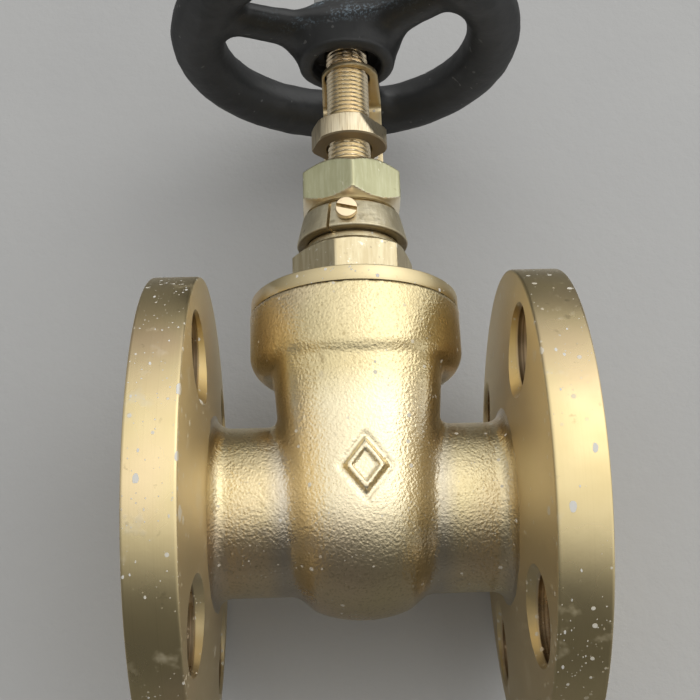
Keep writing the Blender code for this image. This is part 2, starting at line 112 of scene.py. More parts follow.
# ---- light and camera, in m and radians
GLOW_ASIDE = math.radians(30.0)
GLOW_ABOVE = math.radians(8.0)
GLOW_WIDER = 0.42
GLOW_TALLER = 0.36
GLOW_CORE, GLOW_EDGE = 0.10, 1.06
GLOW_STRENGTH = 1.33
DIM_STRENGTH = 0.097
CEILING_STRENGTH = 0.22
KEY_AT = (0.50, -0.78, 0.46)
KEY_AIM = (0.0, 0.0, 0.06)
CAMERA_AT = (-0.00656, -0.28963, -0.05853)
CAMERA_TURN = (-0.008, 0.0281, 0.3316)


# ---- mesh helpers
def add(name, mesh, body, slot, *nodes):
    """Lifts a mesh to its place, makes it a piece that rides on body, and lets it stand for the nodes."""
    mesh.transform(shift(0.0, 0.0, PIPE_AXIS_Z))
    thing = link(name, mesh)
    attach(thing, body)
    if nodes:
        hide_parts(*nodes)


def spin(degrees, axis):
    return Matrix.Rotation(math.radians(degrees), 4, axis)


def shift(x, y, z):
    """A move by distances in mm."""
    return Matrix.Translation((x * MM, y * MM, z * MM))


def finish(mesh, *mats):
    """Gives a mesh its materials, without the empty slots that a cut leaves."""
    mesh.materials.clear()
    for mat in mats:
        mesh.materials.append(mat)


def link(name, data):
    thing = bpy.data.objects.new(name, data)
    bpy.context.scene.collection.objects.link(thing)
    return thing


def make_mesh(name, verts, faces):
    mesh = bpy.data.meshes.new(name)
    mesh.from_pydata((np.asarray(verts, float) * MM).tolist(), [], faces)
    mesh.polygons.foreach_set("use_smooth", [True] * len(mesh.polygons))
    mesh.update()
    return mesh


def bake(mesh, *steps, angle=None):
    """Runs modifiers on a mesh and returns the result; each step is (kind, {setting: value})."""
    thing = link("bake", mesh)
    for kind, settings in steps:
        step = thing.modifiers.new(kind, kind)
        for key, value in settings.items():
            setattr(step, key, value)
    view = bpy.context.evaluated_depsgraph_get()
    view.update()
    done = bpy.data.meshes.new_from_object(thing.evaluated_get(view))
    bpy.data.objects.remove(thing)
    done.name = mesh.name
    if angle is not None:
        crease(done, angle)
    return done


def crease(mesh, angle):
    """Smooth shading, with edges sharper than angle kept crisp."""
    shape = bmesh.new()
    shape.from_mesh(mesh)
    limit = math.radians(angle)
    for face in shape.faces:
        face.smooth = True
    for edge in shape.edges:
        edge.smooth = not (len(edge.link_faces) == 2 and edge.calc_face_angle(0.0) > limit)
    shape.to_mesh(mesh)
    shape.free()


def cut(mesh, cutters, angle=25.0):
    """Takes the cutters' meshes out of a mesh."""
    things = [link("cutter", c) for c in cutters]
    for thing in things:
        mesh = bake(mesh, ("BOOLEAN", {"operation": "DIFFERENCE", "solver": "EXACT", "object": thing}))
    for thing in things:
        bpy.data.objects.remove(thing)
    crease(mesh, angle)
    return mesh


def soften(profile, radius, closed=False):
    """Rounds the corners of a polyline of (r, z) points with small arcs."""
    pts = [np.array(p, float) for p in profile]
    out = []
    for i, p in enumerate(pts):
        if not closed and i in (0, len(pts) - 1):
            out.append(p)
            continue
        a, b = pts[i - 1], pts[(i + 1) % len(pts)]
        da, db = np.linalg.norm(a - p), np.linalg.norm(b - p)
        if da < 1e-6 or db < 1e-6:
            continue
        d = min(radius, 0.45 * da, 0.45 * db)
        u, v = p + (a - p) / da * d, p + (b - p) / db * d
        for t in (0.0, 0.25, 0.5, 0.75, 1.0):
            out.append((1 - t) ** 2 * u + 2 * t * (1 - t) * p + t * t * v)
    return out


def shell(name, rows, around=True, closed=True):
    """A skin over rows of points, each row running round the axis; rows go down the outer side."""
    rows = np.asarray(rows, float)
    m, n = rows.shape[0], rows.shape[1]
    faces = []
    for i in range(m if closed else m - 1):
        k = (i + 1) % m
        for j in range(n if around else n - 1):
            q = (j + 1) % n
            faces.append((i * n + j, k * n + j, k * n + q, i * n + q))
    if not closed:
        faces.append(tuple(range(n)))
        faces.append(tuple(reversed(range((m - 1) * n, m * n))))
    if not around:
        faces.append(tuple(i * n for i in reversed(range(m))))
        faces.append(tuple(i * n + n - 1 for i in range(m)))
    return make_mesh(name, rows.reshape(-1, 3), faces)


def ring_rows(levels, radius_of, steps=192, start=0.0, span=360.0):
    """One row of points for each level (limit, z); radius_of(theta, limit, z) gives its radius all round."""
    theta = np.radians(start + span * np.arange(steps) / (steps if span >= 360.0 else steps - 1))
    rows = []
    for limit, z in levels:
        r = radius_of(theta, limit, z)
        rows.append(np.stack([r * np.cos(theta), r * np.sin(theta), np.full_like(theta, z)], 1))
    return rows


def level_radius(theta, limit, z):
    """A plain round section."""
    return np.full_like(theta, limit)


def turned(name, profile, steps, closed=False, radius=0.25):
    """A lathe shape round Z, with its corners rounded."""
    return shell(name, ring_rows(soften(profile, radius, closed), level_radius, steps), closed=closed)


def smooth_min(a, b, k):
    """The smaller of two fields, blended where they differ by less than k."""
    h = np.maximum(k - np.abs(a - b), 0.0) / k
    return np.minimum(a, b) - h * h * k * 0.25


def smooth_max(a, b, k):
    return -smooth_min(-a, -b, k)


def polygon_radius(theta, count, corner, turn):
    """Radius of a regular polygon with slightly eased corners; turn is one corner's angle."""
    power = 90
    total = np.zeros_like(theta)
    for i in range(count):
        c = np.cos(theta - math.radians(turn + (i + 0.5) * 360.0 / count))
        total += np.maximum(c, 0.0) ** power
    return corner * math.cos(math.pi / count) / total ** (1.0 / power)


def nets(name, field, low, high, step):
    """Skins the zero surface of field(x, y, z) with quads, one point to each cell it passes."""
    axes = [np.arange(low[i] - 1.5 * step, high[i] + 2.5 * step, step) for i in range(3)]
    f = field(*np.meshgrid(*axes, indexing="ij"))
    inside = f < 0
    dims = np.array(f.shape) - 1
    count = np.zeros(dims, np.int8)
    corners = [(i, j, k) for i in (0, 1) for j in (0, 1) for k in (0, 1)]
    for i, j, k in corners:
        count += inside[i:i + dims[0], j:j + dims[1], k:k + dims[2]]
    active = (count > 0) & (count < 8)
    index = np.full(dims, -1, np.int64)
    cells = np.argwhere(active)
    index[active] = np.arange(len(cells))
    total, hits = np.zeros((len(cells), 3)), np.zeros(len(cells))
    for a in corners:
        for axis in range(3):
            if a[axis]:
                continue
            b = list(a)
            b[axis] = 1
            fa = f[tuple((cells + a).T)]
            fb = f[tuple((cells + b).T)]
            cross = (fa < 0) != (fb < 0)
            t = np.where(cross, fa / np.where(cross, fa - fb, 1.0), 0.0)
            point = np.array(a, float)[None, :] + t[:, None] * np.eye(3)[axis][None, :]
            total += np.where(cross[:, None], point, 0.0)
            hits += cross
    verts = (cells + total / hits[:, None]) * step + np.array([a[0] for a in axes])
    for _ in range(2):
        verts = settle(field, verts, 0.6 * step)
    faces = []
    for axis in range(3):
        u, v = (axis + 1) % 3, (axis + 2) % 3
        lower = [slice(None)] * 3
        upper = [slice(None)] * 3
        lower[axis], upper[axis] = slice(0, -1), slice(1, None)
        change = np.argwhere(inside[tuple(lower)] != inside[tuple(upper)])
        keep = (change[:, u] > 0) & (change[:, v] > 0)
        keep &= (change[:, u] < dims[u]) & (change[:, v] < dims[v])
        change = change[keep]
        quad = []
        for du, dv in ((-1, -1), (0, -1), (0, 0), (-1, 0)):
            cell = change.copy()
            cell[:, u] += du
            cell[:, v] += dv
            quad.append(index[tuple(cell.T)])
        quad = np.stack(quad, 1)
        flip = ~inside[tuple(change.T)]
        quad[flip] = quad[flip][:, ::-1]
        faces.append(quad)
    return make_mesh(name, verts, np.concatenate(faces).tolist())


def settle(field, verts, reach):
    """Moves points onto the field's zero surface along its slope."""
    e = 0.04
    x, y, z = verts.T
    value = field(x, y, z)
    slope = np.stack([field(x + e, y, z) - field(x - e, y, z), field(x, y + e, z) - field(x, y - e, z),
                      field(x, y, z + e) - field(x, y, z - e)], 1) / (2 * e)
    size = np.maximum((slope ** 2).sum(1), 0.05)
    move = -slope * (value / size)[:, None]
    length = np.linalg.norm(move, axis=1)
    move *= np.minimum(1.0, reach / np.maximum(length, 1e-9))[:, None]
    return verts + move


def roughen(mesh, wave, depth, seed):
    """Pushes points inwards by a smooth noise of the given wavelength and depth, in mm."""
    moves = []
    for v in mesh.vertices:
        p = v.co * (1000.0 / wave) + Vector((seed, seed * 0.7, seed * 1.3))
        n = noise.noise(p) + 0.5 * noise.noise(p * 2.1)
        moves.append(v.normal * ((n - 0.9) * depth * MM))
    for v, move in zip(mesh.vertices, moves):
        v.co += move
    mesh.update()
    return mesh


# ---- material helpers
class Nodes:
    """Builds a node tree. Sockets and plain values can be passed to every helper."""

    def __init__(self, tree):
        self.tree = tree
        tree.nodes.clear()

    def node(self, kind, inputs=None, **settings):
        made = self.tree.nodes.new("ShaderNode" + kind)
        for key, value in settings.items():
            setattr(made, key, value)
        for key, value in (inputs or {}).items():
            self.put(made.inputs[key], value)
        return made

    def put(self, socket, value):
        if isinstance(value, bpy.types.NodeSocket):
            self.tree.links.new(value, socket)
        else:
            socket.default_value = value

    def math(self, operation, a, b=0.0, clamp=False):
        return self.node("Math", {0: a, 1: b}, operation=operation, use_clamp=clamp).outputs[0]

    def times(self, a, b):
        return self.math("MULTIPLY", a, b)

    def across(self, a, b):
        return self.math("SQRT", self.math("ADD", self.times(a, a), self.times(b, b)))

    def split(self, at):
        return tuple(self.node("SeparateXYZ", {0: at}).outputs)


class Paint(Nodes):
    """A surface material. Its here is the point on the object, with heights from the pipe axis."""

    def __init__(self, name):
        self.mat = bpy.data.materials.new(name)
        self.mat.use_nodes = True
        super().__init__(self.mat.node_tree)
        self.out = self.node("OutputMaterial")
        self.shader = self.node("BsdfPrincipled")
        self.put(self.out.inputs[0], self.shader.outputs[0])
        place = self.node("TexCoord").outputs["Object"]
        self.here = self.node("VectorMath", {0: place, 1: (0.0, 0.0, PIPE_AXIS_Z * MM)},
                              operation="SUBTRACT").outputs[0]

    def surface(self, colour, metallic, roughness, normal):
        values = {"Base Color": colour, "Metallic": metallic, "Roughness": roughness, "Normal": normal}
        for name, value in values.items():
            self.put(self.shader.inputs[name], value)
        return self.mat

    def layers(self, colour, *layers):
        """Lays colours over one another; each layer is (where, how much of it, colour)."""
        for where, share, over in layers:
            colour = self.mix(self.times(where, share), colour, over)
        return colour

    def noise(self, scale, detail=3.0, rough=0.55, at=None):
        return self.node("TexNoise", {"Vector": at or self.here, "Scale": scale, "Detail": detail,
                                                "Roughness": rough}).outputs[0]

    def band(self, value, low, high):
        """0 below low, 1 above high; high may be the smaller to turn it round."""
        return self.node("MapRange", {"Value": value, "From Min": low, "From Max": high}).outputs[0]

    def span(self, value, low, high):
        """A value of 0 to 1 spread over low to high."""
        return self.node("MapRange", {"Value": value, "To Min": low, "To Max": high}).outputs[0]

    def mix(self, amount, a, b):
        a, b = ((*v, 1.0) if isinstance(v, tuple) else v for v in (a, b))
        return self.node("Mix", {0: amount, 6: a, 7: b}, data_type="RGBA").outputs[2]

    def blend(self, amount, a, b):
        return self.node("Mix", {0: amount, 2: a, 3: b}, data_type="FLOAT").outputs[0]

    def join(self, x, y, z):
        return self.node("CombineXYZ", {0: x, 1: y, 2: z}).outputs[0]

    def bump(self, height, depth, strength=1.0, normal=None):
        inputs = {"Height": height, "Distance": depth, "Strength": strength}
        if normal is not None:
            inputs["Normal"] = normal
        return self.node("Bump", inputs).outputs[0]

    def painted_shade_below(self):
        """0 on upright faces, 1 on faces that look down: the mask for painted shade on undersides."""
        return self.band(self.level_of_normal(), -0.30, -0.75)

    def level_of_normal(self):
        return self.split(self.node("NewGeometry").outputs["Normal"])[2]

    def edges(self):
        """1 on worn convex edges."""
        point = self.node("NewGeometry").outputs["Pointiness"]
        return self.band(point, 0.52, 0.60)

    def lathe_lines(self, axis="Z", pitch=0.35):
        """Fine lines left by turning: noise that only changes along and outwards from the axis."""
        x, y, z = self.split(self.here)
        a, b, c = (x, y, z) if axis == "Z" else (y, z, x)
        along = self.math("ADD", self.across(a, b), c)
        at = self.join(along, self.times(self.math("ARCTAN2", b, a), 0.00012), 0.0)
        return self.noise(1.0 / (pitch * MM), 3.0, 0.7, at=at)


def lime_specks(p, size, share, seed=0.0, stretch=(1.0, 1.0, 1.0)):
    """Pale splashes of dried plaster: round spots of mixed size, in patches."""
    at = p.node("Mapping", {0: p.here, 1: (seed, seed * 0.7, seed * 1.9), 3: stretch}).outputs[0]
    wavy = p.node("TexNoise", {"Vector": at, "Scale": 420.0, "Detail": 2.0}).outputs[1]
    push = p.node("VectorMath", {0: wavy, "Scale": 0.55 * size}, operation="SCALE").outputs[0]
    bent = p.node("VectorMath", {0: at, 1: push}, operation="ADD").outputs[0]
    spots = None
    for scale, limit in ((0.26 / size, 0.19), (0.75 / size, 0.17)):
        cell = p.node("TexVoronoi", {"Vector": bent, "Scale": scale}, feature="F1")
        chance, wide = p.split(cell.outputs["Color"])[:2]
        keep = p.band(chance, 1.0 - share - 0.001, 1.0 - share)
        reach = p.math("ADD", p.times(wide, limit), 0.05)
        spot = p.times(p.math("LESS_THAN", cell.outputs["Distance"], reach), keep)
        spots = spot if spots is None else p.math("MAXIMUM", spots, spot)
    return p.times(spots, p.band(p.noise(32.0, 2.0, 0.5, at=at), 0.40, 0.50))


def painted_corner_shade(p):
    """Painted shade: a darker, greyer tint in the corners beside the barrel and at the roots of the flanges,
    patchy with noise.
    """
    x, y, z = p.split(p.here)
    beside = p.math("ABSOLUTE", p.math("SUBTRACT", p.math("ABSOLUTE", x), 0.0165))
    corner = p.times(p.band(beside, 0.0060, 0.0020), p.band(z, 0.030, 0.014))
    root = p.band(p.math("ABSOLUTE", x), 0.0325, 0.0350)
    return p.times(p.math("MAXIMUM", corner, root), p.span(p.noise(160.0, 3.0), 0.45, 0.85))


def painted_front_highlight(p):
    """A painted highlight: the middle of the barrel's front, painted brighter."""
    x, y, z = p.split(p.here)
    front = p.times(p.band(p.math("ABSOLUTE", x), 0.0165, 0.0085), p.band(y, -0.010, -0.018))
    return p.times(front, p.times(p.band(z, 0.029, 0.020), p.band(z, -0.018, -0.004)))


def cast_brass():
    """Sand-cast brass: fine grain and pits, pinkish patches, painted shade in the corners, a painted
    highlight on the barrel's front and a few plaster specks.
    """
    p = Paint("cast_brass")
    tone = p.band(p.noise(38.0, 3.0, 0.5), 0.35, 0.68)
    aside = p.node("Mapping", {0: p.here, 1: (0.3, 0.1, 0.7)}).outputs[0]
    pink = p.band(p.noise(24.0, 2.0, 0.5, at=aside), 0.46, 0.70)
    grain = p.noise(1500.0, 2.0, 0.6)
    peel = p.node("TexVoronoi", {"Vector": p.here, "Scale": 1500.0, "Smoothness": 0.6},
                  feature="SMOOTH_F1").outputs["Distance"]
    pits = p.band(p.noise(430.0, 2.0, 0.4), 0.27, 0.22)
    stain = p.band(p.noise(150.0, 3.0, 0.6), 0.33, 0.26)
    low = p.band(grain, 0.48, 0.32)
    specks = p.times(lime_specks(p, 0.0006, 0.3), 0.7)
    colour = p.layers(p.mix(tone, (0.74, 0.62, 0.35), (0.82, 0.70, 0.43)),
                      (pink, 0.60, (0.82, 0.61, 0.43)),
                      (pits, 0.50, (0.30, 0.22, 0.10)),
                      (stain, 0.35, (0.42, 0.37, 0.30)),
                      (low, 0.40, (0.42, 0.32, 0.15)),
                      # painted shade in the corners beside the barrel and at the flange roots
                      (painted_corner_shade(p), 1.0, (0.54, 0.49, 0.41)),
                      # painted highlight on the middle of the barrel's front
                      (painted_front_highlight(p), 0.70, (0.98, 0.88, 0.62)),
                      (specks, 1.0, (0.80, 0.78, 0.72)))
    roughness = p.blend(specks, p.span(p.noise(90.0, 3.0), 0.24, 0.34), 0.85)
    coarse = p.bump(p.math("ADD", p.times(peel, 0.6), grain), 0.00014, 0.85)
    normal = p.bump(p.noise(3600.0, 2.0, 0.6), 0.00003, 0.5, coarse)
    return p.surface(colour, p.math("SUBTRACT", 1.0, specks, clamp=True), roughness, normal)


def machined_brass(name, axis="Z", colour=(0.80, 0.67, 0.38), rough=(0.22, 0.34), specks_at=0.0, pitch=0.35,
                   share=0.4, stretch=(1.0, 1.0, 1.0), detail=None):
    """Turned brass with fine lathe lines, tarnish and, if specks_at gives their size, plaster specks."""
    p = Paint(name)
    lines = p.lathe_lines(axis, pitch)
    haze = p.band(p.noise(45.0, 3.0, 0.55), 0.35, 0.70)
    spots = p.band(p.noise(260.0, 3.0, 0.6), 0.33, 0.25)
    base = p.layers(p.mix(haze, colour, tuple(c * f for c, f in zip(colour, (0.88, 0.86, 0.80)))),
                    (p.band(p.noise(28.0, 2.0), 0.52, 0.7), 0.40, (0.84, 0.60, 0.42)),
                    (p.band(lines, 0.62, 0.8), 0.25, (0.46, 0.36, 0.18)),
                    (spots, 0.45, (0.36, 0.29, 0.16)))
    roughness = p.blend(haze, rough[0], rough[1])
    metallic = 1.0
    normal = p.bump(lines, 0.00005, 0.35)
    normal = p.bump(p.noise(160.0, 3.0, 0.6), 0.00012, 0.25, normal)
    if specks_at:
        smear = p.times(p.band(p.noise(75.0, 4.0, 0.65), 0.60, 0.72), 0.35)
        specks = lime_specks(p, specks_at, share, 0.013, stretch)
        fine = p.times(lime_specks(p, specks_at * 0.35, share, 0.31), 0.8)
        pale = p.math("MAXIMUM", p.math("MAXIMUM", specks, fine), smear)
        base = p.mix(pale, base, (0.78, 0.76, 0.70))
        metallic = p.math("SUBTRACT", 1.0, p.times(pale, 0.95), clamp=True)
        roughness = p.blend(pale, roughness, 0.85)
        normal = p.bump(pale, 0.0001, 0.6, normal)
    if detail:
        base, roughness = detail(p, base, roughness)
    return p.surface(base, metallic, roughness, normal)


def flange_detail(p, base, roughness):
    """Duller flange faces, and painted shade inside the bolt holes, broken by pale rings of turning marks."""
    x, y, z = p.split(p.here)
    sideways = p.split(p.node("NewGeometry").outputs["Normal"])[0]
    face = p.band(p.math("ABSOLUTE", sideways), 0.60, 0.90)
    base = p.mix(p.times(face, 0.75), base, (0.70, 0.58, 0.37))
    roughness = p.blend(p.times(face, 0.8), roughness, 0.58)
    ring = HOLE_CIRCLE_R * math.cos(math.radians(45.0)) * MM
    off_y = p.math("SUBTRACT", p.math("ABSOLUTE", y), ring)
    off_z = p.math("SUBTRACT", p.math("ABSOLUTE", z), ring)
    off = p.node("VectorMath", {0: p.join(off_y, off_z, 0.0)}, operation="LENGTH").outputs["Value"]
    # Painted shade inside the bolt holes, with pale turning marks through it.
    inside = p.band(off, (HOLE_R + 0.45) * MM, (HOLE_R + 0.15) * MM)
    marks = p.band(p.noise(950.0, 2.0, 0.6, at=p.join(x, 0.0, 0.0)), 0.42, 0.62)
    return p.mix(inside, base, p.mix(marks, (0.26, 0.19, 0.11), (0.78, 0.63, 0.42))), roughness


def hexagon_wear(p, base, roughness):
    """Duller, nicked flats on the bonnet's hexagon, with upright marks."""
    low, high = (BONNET_HEX_Z[0] + 0.1) * MM, BONNET_HEX_WEAR_TOP * MM
    x, y, z = p.split(p.here)
    upright = p.join(x, y, p.times(z, 0.12))
    part = p.times(p.band(z, low, low + 0.1 * MM), p.band(z, high + 0.1 * MM, high))
    marks = p.band(p.noise(700.0, 3.0, 0.6, at=upright), 0.40, 0.64)
    worn = p.mix(marks, (0.56, 0.47, 0.29), (0.68, 0.60, 0.40))
    nicks = p.times(p.band(p.noise(520.0, 3.0, 0.7), 0.64, 0.70), part)
    base = p.mix(p.times(nicks, 0.8), p.mix(part, base, worn), (0.90, 0.86, 0.74))
    return base, p.blend(part, roughness, 0.42)


def olive_brass():
    """Dull greenish brass of the gland nut: brushed faces with scratches, and machined chamfers painted
    paler, partly their own colour and partly a painted reflection.
    """
    p = Paint("olive_brass")
    x, y, z = p.split(p.here)
    brushed = p.noise(1100.0, 3.0, 0.65, at=p.join(x, y, p.times(z, 0.10)))
    slant = p.join(p.math("ADD", x, p.times(z, 0.5)), y, p.times(z, 0.12))
    scratch = p.band(p.noise(800.0, 2.0, 0.5, at=slant), 0.67, 0.72)
    spots = p.band(p.noise(210.0, 2.0), 0.34, 0.28)
    # The chamfers' pale cream is partly machined brass and partly a painted reflection of the bright
    # surround.
    bevel = p.band(p.math("ABSOLUTE", p.level_of_normal()), 0.30, 0.45)
    tone = p.band(p.noise(70.0, 3.0, 0.6), 0.35, 0.7)
    colour = p.layers(p.mix(tone, (0.43, 0.42, 0.25), (0.52, 0.51, 0.32)),
                      (p.band(brushed, 0.45, 0.65), 0.35, (0.66, 0.66, 0.46)),
                      (scratch, 0.60, (0.84, 0.82, 0.66)),
                      (p.edges(), 0.80, (0.90, 0.80, 0.54)),
                      (spots, 0.50, (0.30, 0.27, 0.14)),
                      (bevel, 1.0, p.mix(tone, (0.88, 0.78, 0.58), (0.95, 0.87, 0.69))))
    roughness = p.blend(bevel, p.span(p.noise(130.0, 3.0), 0.36, 0.52), 0.30)
    height = p.math("ADD", p.noise(380.0, 3.0, 0.6), p.times(brushed, 0.3))
    return p.surface(colour, 1.0, roughness, p.bump(height, 0.00012, 0.45))


def rough_ring_brass():
    """Brown, uneven brass of the clamp ring, with painted shade under its lip."""
    p = Paint("rough_ring_brass")
    x, y, z = p.split(p.here)
    tone = p.band(p.noise(90.0, 3.0, 0.6), 0.3, 0.7)
    rubbed = p.band(p.noise(650.0, 3.0, 0.7, at=p.join(x, y, p.times(z, 0.35))), 0.50, 0.66)
    pits = p.band(p.noise(300.0, 2.0, 0.6), 0.38, 0.30)
    colour = p.layers(p.mix(tone, (0.50, 0.43, 0.28), (0.72, 0.65, 0.46)),
                      (rubbed, 0.45, (0.84, 0.78, 0.60)),
                      (pits, 0.55, (0.24, 0.19, 0.11)),
                      (p.edges(), 0.70, (0.82, 0.68, 0.42)),
                      # painted shade under the ring's lip
                      (p.painted_shade_below(), 0.75, (0.17, 0.13, 0.08)))
    height = p.math("ADD", p.noise(620.0, 3.0, 0.6), p.times(p.lathe_lines("Z", 0.8), 0.5))
    return p.surface(colour, 1.0, p.span(p.noise(200.0, 3.0), 0.36, 0.55), p.bump(height, 0.00022, 0.6))


def filed_brass():
    """Bright brass with upright file marks, rougher underneath, with painted shade on the underside."""
    p = Paint("filed_brass")
    x, y, z = p.split(p.here)
    side = p.band(p.math("ABSOLUTE", p.level_of_normal()), 0.6, 0.3)
    marks = p.times(p.noise(1900.0, 2.0, 0.7, at=p.join(x, y, p.times(z, 0.05))), side)
    # painted shade on the nut's underside
    under = p.painted_shade_below()
    colour = p.layers(p.mix(p.band(p.noise(140.0, 2.0), 0.35, 0.65), (0.82, 0.69, 0.46), (0.88, 0.78, 0.56)),
                      (p.band(marks, 0.50, 0.66), 0.65, (0.46, 0.35, 0.21)),
                      (under, 0.80, (0.20, 0.145, 0.09)))
    roughness = p.blend(under, p.span(p.noise(200.0, 2.0), 0.28, 0.42), 0.55)
    return p.surface(colour, 1.0, roughness, p.bump(marks, 0.00016, 0.8))


def painted_slot_shade():
    """Painted shade in a screw slot: darker brass on its walls and bottom."""
    p = Paint("painted_slot_shade")
    colour = p.mix(p.band(p.noise(900.0, 2.0), 0.4, 0.62), (0.40, 0.30, 0.15), (0.70, 0.55, 0.30))
    return p.surface(colour, 1.0, 0.5, p.bump(p.noise(1400.0, 2.0), 0.0001, 0.5))


def black_paint():
    """Thick black paint, glossy but uneven, with a little pale dust by the hub."""
    p = Paint("black_paint")
    x, y, z = p.split(p.here)
    hub = p.band(p.across(x, y), 0.030, 0.012)
    tone = p.band(p.noise(40.0, 3.0, 0.6), 0.35, 0.7)
    chalk = p.band(p.noise(1300.0, 2.0, 0.7), 0.50, 0.62)
    patch = p.times(p.band(p.noise(110.0, 3.0, 0.6), 0.42, 0.56), p.band(z, 0.129, 0.132))
    dust = p.times(p.times(chalk, patch), hub)
    grit = p.band(p.noise(420.0, 1.0, 0.5), 0.735, 0.76)
    colour = p.layers(p.mix(tone, (0.028, 0.029, 0.029), (0.044, 0.045, 0.045)),
                      (dust, 0.85, (0.30, 0.40, 0.48)),
                      (grit, 0.50, (0.22, 0.22, 0.21)))
    lumps = p.math("ADD", p.noise(150.0, 3.0, 0.55), p.times(p.noise(620.0, 3.0, 0.6), 0.35))
    return p.surface(colour, 0.0, p.span(p.noise(140.0, 3.0, 0.6), 0.32, 0.50), p.bump(lumps, 0.00045, 0.5))


def zinc_steel():
    """Plated steel of the washer and nut on the wheel."""
    p = Paint("zinc_steel")
    colour = p.mix(p.band(p.noise(120.0, 3.0), 0.35, 0.7), (0.50, 0.50, 0.49), (0.66, 0.65, 0.62))
    normal = p.bump(p.lathe_lines("Z", 0.5), 0.00006, 0.4)
    return p.surface(colour, 1.0, p.span(p.noise(180.0, 3.0), 0.30, 0.48), normal)


def gasket_sheet():
    """Dark fibre sheet."""
    p = Paint("gasket_sheet")
    colour = p.mix(p.noise(300.0, 3.0), (0.030, 0.026, 0.022), (0.075, 0.062, 0.050))
    return p.surface(colour, 0.0, 0.85, p.bump(p.noise(1400.0, 2.0), 0.0001, 0.5))


def packing_cord():
    """Graphited plaited cord: small cells along the two slants of the plait."""
    p = Paint("packing_cord")
    x, y, z = p.split(p.here)
    around = p.times(p.math("ARCTAN2", y, x), 0.008)
    at = p.join(p.math("ADD", around, z), p.math("SUBTRACT", around, z), 0.0)
    weave = p.node("TexVoronoi", {"Vector": at, "Scale": 700.0, "Randomness": 0.2},
                   feature="F1").outputs["Distance"]
    colour = p.mix(weave, (0.05, 0.05, 0.05), (0.20, 0.20, 0.19))
    return p.surface(colour, 0.0, 0.8, p.bump(weave, 0.0004, 0.8))


# ---- the casting
def round_corner(a, b, r):
    """Distance field of the corner where two fields meet, rounded to radius r."""
    inside = np.minimum(np.maximum(a, b) + r, 0.0)
    return np.hypot(np.maximum(a + r, 0.0), np.maximum(b + r, 0.0)) + inside - r


def barrel_field(x, y, z):
    """The barrel that holds the gate: rounded below, flat-sided, its half width growing with height."""
    half_x = np.interp(z, BARREL_Z, BARREL_HALF_X)
    low = np.minimum(z, 0.0)
    deep = np.sqrt(0.86 * x * x + y * y + 0.95 * low * low) - BARREL_DEEP
    return np.maximum(round_corner(np.abs(x) - half_x, deep, 5.0), z - BARREL_Z[-1])


def neck_field(x, y, z):
    """The two necks, flared into the flanges."""
    root = FACE_X - FLANGE_T - FLANGE_TAPER * (FLANGE_R - 24.0)
    start, r = root - NECK_FLARE, np.hypot(y, z)
    t = np.clip(np.abs(x) - start, 0.0, NECK_FLARE)
    flare = NECK_FLARE - np.sqrt(np.maximum(NECK_FLARE ** 2 - t * t, 0.0))
    slope = 1.0 / np.sqrt(1.0 + (t / np.maximum(NECK_FLARE - flare, 0.8)) ** 2)
    return np.maximum((r - NECK_R - flare) * slope, np.abs(x) - CASTING_END_X)


def collar_field(x, y, z):
    """The round collar under the bonnet, a little deeper at the front."""
    bottom = COLLAR_BOTTOM - COLLAR_DROP * np.maximum(-y, 0.0) / COLLAR_R
    return np.maximum(round_corner(np.hypot(x, y) - COLLAR_R, bottom - z, 6.2), z - COLLAR_TOP)


def lozenge_height(x, y, z):
    """Height of the raised diamond frame on the barrel's front, in a shallow pressed border."""
    q = np.abs(x - LOZENGE_AT[0]) / LOZENGE_HALF[0] + np.abs(z - LOZENGE_AT[1]) / LOZENGE_HALF[1]
    ridge = np.clip(1.25 - np.abs(q - 0.62) / 0.17, 0.0, 1.0)
    border = np.clip(1.0 - np.abs(q - 0.95) / 0.20, 0.0, 1.0)
    height = 0.85 * ridge * ridge * (3 - 2 * ridge) - 0.45 * border * border * (3 - 2 * border)
    return np.where(y < -10.0, height, 0.0)


def casting_field(x, y, z):
    """Barrel, necks, collar and lozenge, less the bore, the chamber, the seat pockets and the mouth."""
    outside = smooth_min(barrel_field(x, y, z), neck_field(x, y, z), 3.0)
    outside = smooth_min(outside, collar_field(x, y, z), 0.7) - lozenge_height(x, y, z)
    outside = np.maximum(outside, z - COLLAR_TOP)
    pipe = np.hypot(y, z)
    bore = pipe - np.where(np.abs(x) > FACE_X - FLANGE_T - 3.6, BORE_R + 0.5, BORE_R)
    chamber = np.maximum(pipe - CHAMBER_R, np.abs(x) - CHAMBER_HALF_X)
    shaft = smooth_max(np.abs(y) - CHAMBER_R, np.abs(x) - CHAMBER_HALF_X, 3.0)
    shaft = np.maximum(shaft, np.maximum(-z, z - 45.0))
    pockets = np.maximum(pipe - SEAT_POCKET_R, np.abs(x) - SEAT_POCKET_X)
    mouth = np.maximum(np.hypot(x, y) - MOUTH_R, MOUTH_BOTTOM - z)
    hollow = np.minimum(np.minimum(bore, chamber), np.minimum(np.minimum(shaft, pockets), mouth))
    return np.maximum(outside, -hollow)


def make_casting(brass):
    """The body without its flanges. Its outer skin is a little uneven, as sand leaves it."""
    low, high = (-CASTING_END_X, -27.5, -26.5), (CASTING_END_X, 27.5, COLLAR_TOP)
    mesh = nets("body_casting", casting_field, low, high, 0.6)
    moves = np.zeros((len(mesh.vertices), 3))
    for i, v in enumerate(mesh.vertices):
        x, y, z = v.co * 1000.0
        in_bore = math.hypot(y, z) < 17.0 and abs(z) < 17.0
        in_mouth = math.hypot(x, y) < 23.9 and z > 27.0
        if z > COLLAR_TOP - 0.8 or in_bore or in_mouth:
            continue
        n = noise.noise(v.co * 130.0) * 0.07 + noise.noise(v.co * 900.0) * 0.03
        moves[i] = np.array(v.normal) * (n - 0.04) * MM
    co = np.zeros(len(mesh.vertices) * 3)
    mesh.vertices.foreach_get("co", co)
    mesh.vertices.foreach_set("co", co + moves.ravel())
    finish(mesh, brass)
    add("body_casting", mesh, "casing", "cast_brass", "valve_body")


